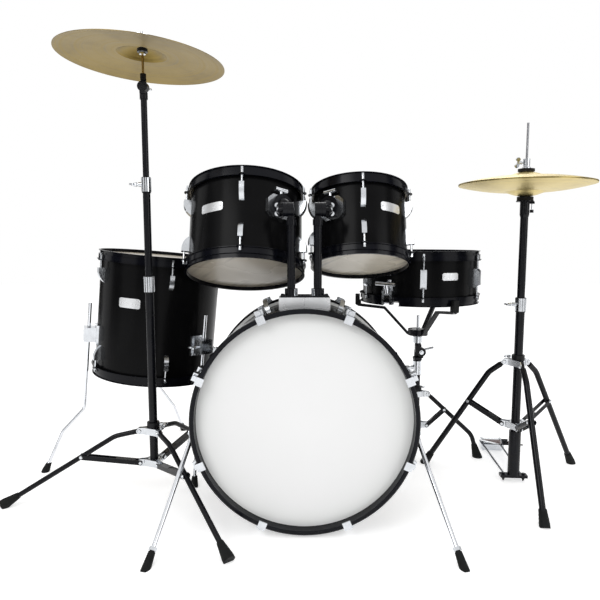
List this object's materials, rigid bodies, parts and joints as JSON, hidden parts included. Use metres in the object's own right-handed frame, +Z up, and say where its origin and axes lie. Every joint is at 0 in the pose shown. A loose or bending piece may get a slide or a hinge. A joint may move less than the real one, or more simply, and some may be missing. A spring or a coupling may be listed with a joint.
{
  "type": "acoustic drum kit",
  "caption": "Acoustic drum kit with a white-headed bass drum, rack toms, floor tom, snare, crash and hi-hat on folding tripod stands.",
  "frame": {"origin": "on the floor, under the middle of the floor rectangle that the kit's outermost feet and drums cover", "axes": "Z up; -Y faces the audience and +Y the player; +X to the audience's right, towards the hi-hat"},
  "size_m": [1.6507, 0.8943, 1.212],
  "materials": {
    "black_wrap": "polished near-black covering on the drum shells",
    "white_head": "smooth coated white bass drum film",
    "clear_head": "translucent warm film of the tom and snare heads",
    "black_lacquer": "gloss blue-black rims, hoops, tubes and legs",
    "hoop_lacquer": "gloss black lacquered wooden hoops",
    "chrome": "bright plated lugs, rods, claws and clamps",
    "crash_bronze": "lathed olive gold cymbal",
    "hat_bronze": "lathed pale gold cymbals",
    "steel": "plain steel footboard and rod"
  },
  "bodies": {
    "kit": {"bass_shell": "black_wrap", "bass_heads": "white_head", "bass_hoops": "hoop_lacquer", "bass_fittings": "chrome", "tom_mount_base": "chrome", "floor_tom_shell": "black_wrap", "floor_tom_heads": "clear_head", "floor_tom_rims": "black_lacquer", "floor_tom_fittings": "chrome", "stand_base_tubes": "black_lacquer"},
    "floor_tom_legs": {"floor_tom_legs": "chrome"},
    "left_spur": {"left_spur": "chrome"},
    "right_spur": {"right_spur": "chrome"},
    "left_tom_post": {"left_tom_post": "black_lacquer"},
    "left_tom": {"left_tom_shell": "black_wrap", "left_tom_heads": "clear_head", "left_tom_rims": "black_lacquer", "left_tom_fittings": "chrome"},
    "right_tom_post": {"right_tom_post": "black_lacquer"},
    "right_tom": {"right_tom_shell": "black_wrap", "right_tom_heads": "clear_head", "right_tom_rims": "black_lacquer", "right_tom_fittings": "chrome"},
    "crash_collar": {"crash_collar": "chrome"},
    "crash_leg_1": {"crash_leg_1": "black_lacquer"},
    "crash_brace_1": {"crash_brace_1": "black_lacquer"},
    "crash_leg_2": {"crash_leg_2": "black_lacquer"},
    "crash_brace_2": {"crash_brace_2": "black_lacquer"},
    "crash_leg_3": {"crash_leg_3": "black_lacquer"},
    "crash_brace_3": {"crash_brace_3": "black_lacquer"},
    "snare_collar": {"snare_collar": "chrome"},
    "snare_leg_1": {"snare_leg_1": "black_lacquer"},
    "snare_brace_1": {"snare_brace_1": "black_lacquer"},
    "snare_leg_2": {"snare_leg_2": "black_lacquer"},
    "snare_brace_2": {"snare_brace_2": "black_lacquer"},
    "snare_leg_3": {"snare_leg_3": "black_lacquer"},
    "snare_brace_3": {"snare_brace_3": "black_lacquer"},
    "hat_collar": {"hat_collar": "chrome"},
    "hat_leg_1": {"hat_leg_1": "black_lacquer"},
    "hat_brace_1": {"hat_brace_1": "black_lacquer"},
    "hat_leg_2": {"hat_leg_2": "black_lacquer"},
    "hat_brace_2": {"hat_brace_2": "black_lacquer"},
    "hat_leg_3": {"hat_leg_3": "black_lacquer"},
    "hat_brace_3": {"hat_brace_3": "black_lacquer"},
    "crash_middle_tube": {"crash_middle_tube": "black_lacquer"},
    "crash_top_tube": {"crash_top_tube": "black_lacquer"},
    "crash_tilter": {"crash_tilter": "chrome"},
    "crash_cymbal": {"crash_cymbal": "crash_bronze"},
    "snare_post": {"snare_post": "black_lacquer"},
    "snare_drum": {"snare_basket": "black_lacquer", "snare_shell": "black_wrap", "snare_heads": "clear_head", "snare_rims": "black_lacquer", "snare_fittings": "chrome"},
    "snare_lever": {"snare_lever": "chrome"},
    "hat_upper_tube": {"hat_upper_tube": "black_lacquer", "hat_bottom_cymbal": "hat_bronze"},
    "hat_pull_rod": {"hat_pull_rod": "steel"},
    "hat_top_cymbal": {"hat_top_cymbal": "hat_bronze"},
    "hat_footboard": {"hat_footboard": "steel"}
  },
  "joints": [
    {"name": "floor_tom_leg_height", "type": "slide", "parent": "kit", "child": "floor_tom_legs", "axis": [0.0941, 0, 0.9956], "range_m": [0, 0.06]},
    {"name": "left_spur_fold", "type": "hinge", "parent": "kit", "child": "left_spur", "pos_m": [-0.30392, -0.20729, 0.218], "axis": [0.9619, 0, -0.2736], "range_deg": [0, 12]},
    {"name": "right_spur_fold", "type": "hinge", "parent": "kit", "child": "right_spur", "pos_m": [0.25008, -0.20729, 0.218], "axis": [0.9619, 0, 0.2736], "range_deg": [0, 134.4]},
    {"name": "left_tom_height", "type": "slide", "parent": "kit", "child": "left_tom_post", "axis": [0, 0.0175, 0.9998], "range_m": [0, 0.06]},
    {"name": "left_tom_tilt", "type": "hinge", "parent": "left_tom_post", "child": "left_tom", "pos_m": [-0.07282, -0.18362, 0.77022], "axis": [1, 0, 0], "range_deg": [-2, 1.5]},
    {"name": "right_tom_height", "type": "slide", "parent": "kit", "child": "right_tom_post", "axis": [0, 0.0175, 0.9998], "range_m": [0, 0.06]},
    {"name": "right_tom_tilt", "type": "hinge", "parent": "right_tom_post", "child": "right_tom", "pos_m": [0.01898, -0.18362, 0.77022], "axis": [1, 0, 0], "range_deg": [-2, 4]},
    {"name": "crash_tripod_fold", "type": "slide", "parent": "kit", "child": "crash_collar", "axis": [0, 0, 1], "range_m": [0, 0.2252]},
    {"name": "crash_leg_1_swing", "type": "hinge", "parent": "crash_collar", "child": "crash_leg_1", "pos_m": [-0.46657, -0.1073, 0.19], "axis": [0.1392, -0.9903, 0], "range_deg": [0, 57.88]},
    {"name": "crash_brace_1_swing", "type": "hinge", "parent": "kit", "child": "crash_brace_1", "pos_m": [-0.46657, -0.1073, 0.103], "axis": [-0.1392, 0.9903, 0], "range_deg": [0, 71.26]},
    {"name": "crash_leg_2_swing", "type": "hinge", "parent": "crash_collar", "child": "crash_leg_2", "pos_m": [-0.40875, -0.13066, 0.19], "axis": [0.788, 0.6157, 0], "range_deg": [0, 57.88]},
    {"name": "crash_brace_2_swing", "type": "hinge", "parent": "kit", "child": "crash_brace_2", "pos_m": [-0.40875, -0.13066, 0.103], "axis": [-0.788, -0.6157, 0], "range_deg": [0, 71.26]},
    {"name": "crash_leg_3_swing", "type": "hinge", "parent": "crash_collar", "child": "crash_leg_3", "pos_m": [-0.41743, -0.06892, 0.19], "axis": [-0.9272, 0.3746, 0], "range_deg": [0, 57.88]},
    {"name": "crash_brace_3_swing", "type": "hinge", "parent": "kit", "child": "crash_brace_3", "pos_m": [-0.41743, -0.06892, 0.103], "axis": [0.9272, -0.3746, 0], "range_deg": [0, 71.26]},
    {"name": "snare_tripod_fold", "type": "slide", "parent": "kit", "child": "snare_collar", "axis": [0, 0, 1], "range_m": [0, 0.035]},
    {"name": "snare_leg_1_swing", "type": "hinge", "parent": "snare_collar", "child": "snare_leg_1", "pos_m": [0.37969, 0.22778, 0.196], "axis": [0.2756, 0.9613, 0], "range_deg": [0, 25.58]},
    {"name": "snare_brace_1_swing", "type": "hinge", "parent": "kit", "child": "snare_brace_1", "pos_m": [0.37969, 0.22778, 0.092], "axis": [-0.2756, -0.9613, 0], "range_deg": [0, 22.55]},
    {"name": "snare_leg_2_swing", "type": "hinge", "parent": "snare_collar", "child": "snare_leg_2", "pos_m": [0.33637, 0.27264, 0.196], "axis": [-0.9703, -0.2419, 0], "range_deg": [0, 25.58]},
    {"name": "snare_brace_2_swing", "type": "hinge", "parent": "kit", "child": "snare_brace_2", "pos_m": [0.33637, 0.27264, 0.092], "axis": [0.9703, 0.2419, 0], "range_deg": [0, 22.55]},
    {"name": "snare_leg_3_swing", "type": "hinge", "parent": "snare_collar", "child": "snare_leg_3", "pos_m": [0.31918, 0.2127, 0.196], "axis": [0.6947, -0.7193, 0], "range_deg": [0, 25.58]},
    {"name": "snare_brace_3_swing", "type": "hinge", "parent": "kit", "child": "snare_brace_3", "pos_m": [0.31918, 0.2127, 0.092], "axis": [-0.6947, 0.7193, 0], "range_deg": [0, 22.55]},
    {"name": "hat_tripod_fold", "type": "slide", "parent": "kit", "child": "hat_collar", "axis": [0, 0, 1], "range_m": [0, 0.075]},
    {"name": "hat_leg_1_swing", "type": "hinge", "parent": "hat_collar", "child": "hat_leg_1", "pos_m": [0.57894, -0.03116, 0.35], "axis": [0.9962, -0.0872, 0], "range_deg": [0, 20.01]},
    {"name": "hat_brace_1_swing", "type": "hinge", "parent": "kit", "child": "hat_brace_1", "pos_m": [0.57894, -0.03116, 0.168], "axis": [-0.9962, 0.0872, 0], "range_deg": [0, 36.84]},
    {"name": "hat_leg_2_swing", "type": "hinge", "parent": "hat_collar", "child": "hat_leg_2", "pos_m": [0.61357, 0.02216, 0.35], "axis": [-0.4848, 0.8746, 0], "range_deg": [0, 20.01]},
    {"name": "hat_brace_2_swing", "type": "hinge", "parent": "kit", "child": "hat_brace_2", "pos_m": [0.61357, 0.02216, 0.168], "axis": [0.4848, -0.8746, 0], "range_deg": [0, 36.84]},
    {"name": "hat_leg_3_swing", "type": "hinge", "parent": "hat_collar", "child": "hat_leg_3", "pos_m": [0.5509, 0.02271, 0.35], "axis": [-0.5, -0.866, 0], "range_deg": [0, 20.01]},
    {"name": "hat_brace_3_swing", "type": "hinge", "parent": "kit", "child": "hat_brace_3", "pos_m": [0.5509, 0.02271, 0.168], "axis": [0.5, 0.866, 0], "range_deg": [0, 36.84]},
    {"name": "crash_middle_height", "type": "slide", "parent": "kit", "child": "crash_middle_tube", "axis": [0, 0, 1], "range_m": [-0.05, 0.12]},
    {"name": "crash_top_height", "type": "slide", "parent": "crash_middle_tube", "child": "crash_top_tube", "axis": [0, 0, 1], "range_m": [-0.06, 0.12]},
    {"name": "crash_tilt", "type": "hinge", "parent": "crash_top_tube", "child": "crash_tilter", "pos_m": [-0.43092, -0.10229, 1.078], "axis": [0, 1, 0], "range_deg": [-25, 25]},
    {"name": "crash_swing", "type": "hinge", "parent": "crash_tilter", "child": "crash_cymbal", "pos_m": [-0.43092, -0.10229, 1.177], "axis": [0, 1, 0], "range_deg": [-8, 5]},
    {"name": "snare_height", "type": "slide", "parent": "kit", "child": "snare_post", "axis": [0, 0, 1], "range_m": [0, 0.015]},
    {"name": "snare_tilt", "type": "hinge", "parent": "snare_post", "child": "snare_drum", "pos_m": [0.35608, 0.23771, 0.334], "axis": [0, 1, 0], "range_deg": [0, 12]},
    {"name": "snare_throw_off", "type": "hinge", "parent": "snare_drum", "child": "snare_lever", "pos_m": [0.21961, 0.0794, 0.516], "axis": [0.7837, -0.6211, 0], "range_deg": [0, 80]},
    {"name": "hat_height", "type": "slide", "parent": "kit", "child": "hat_upper_tube", "axis": [0, 0, 1], "range_m": [-0.05, 0.1]},
    {"name": "hat_pedal", "type": "hinge", "parent": "kit", "child": "hat_footboard", "pos_m": [0.60457, 0.26172, 0.027], "axis": [0.9962, -0.0872, 0], "range_deg": [-8, 0.3]},
    {"name": "hat_rod_pull", "type": "slide", "parent": "kit", "child": "hat_pull_rod", "axis": [0, 0, 1], "range_m": [-0.0015, 0.032]},
    {"name": "hat_clutch_height", "type": "slide", "parent": "hat_pull_rod", "child": "hat_top_cymbal", "axis": [0, 0, 1], "range_m": [-0.05, 0.1]}
  ],
  "couplings": [
    {"joint": "crash_leg_1_swing", "follows": "crash_tripod_fold", "rad_per_m": 4.4821},
    {"joint": "crash_brace_1_swing", "follows": "crash_tripod_fold", "rad_per_m": 5.5193},
    {"joint": "crash_leg_2_swing", "follows": "crash_tripod_fold", "rad_per_m": 4.4821},
    {"joint": "crash_brace_2_swing", "follows": "crash_tripod_fold", "rad_per_m": 5.5193},
    {"joint": "crash_leg_3_swing", "follows": "crash_tripod_fold", "rad_per_m": 4.4821},
    {"joint": "crash_brace_3_swing", "follows": "crash_tripod_fold", "rad_per_m": 5.5193},
    {"joint": "snare_leg_1_swing", "follows": "snare_tripod_fold", "rad_per_m": 12.73},
    {"joint": "snare_brace_1_swing", "follows": "snare_tripod_fold", "rad_per_m": 11.221},
    {"joint": "snare_leg_2_swing", "follows": "snare_tripod_fold", "rad_per_m": 12.73},
    {"joint": "snare_brace_2_swing", "follows": "snare_tripod_fold", "rad_per_m": 11.221},
    {"joint": "snare_leg_3_swing", "follows": "snare_tripod_fold", "rad_per_m": 12.73},
    {"joint": "snare_brace_3_swing", "follows": "snare_tripod_fold", "rad_per_m": 11.221},
    {"joint": "hat_leg_1_swing", "follows": "hat_tripod_fold", "rad_per_m": 4.6458},
    {"joint": "hat_brace_1_swing", "follows": "hat_tripod_fold", "rad_per_m": 8.5614},
    {"joint": "hat_leg_2_swing", "follows": "hat_tripod_fold", "rad_per_m": 4.6458},
    {"joint": "hat_brace_2_swing", "follows": "hat_tripod_fold", "rad_per_m": 8.5614},
    {"joint": "hat_leg_3_swing", "follows": "hat_tripod_fold", "rad_per_m": 4.6458},
    {"joint": "hat_brace_3_swing", "follows": "hat_tripod_fold", "rad_per_m": 8.5614},
    {"joint": "hat_rod_pull", "follows": "hat_pedal", "m_per_rad": -0.21421},
    {"joint": "hat_clutch_height", "follows": "hat_height", "ratio": 1}
  ]
}
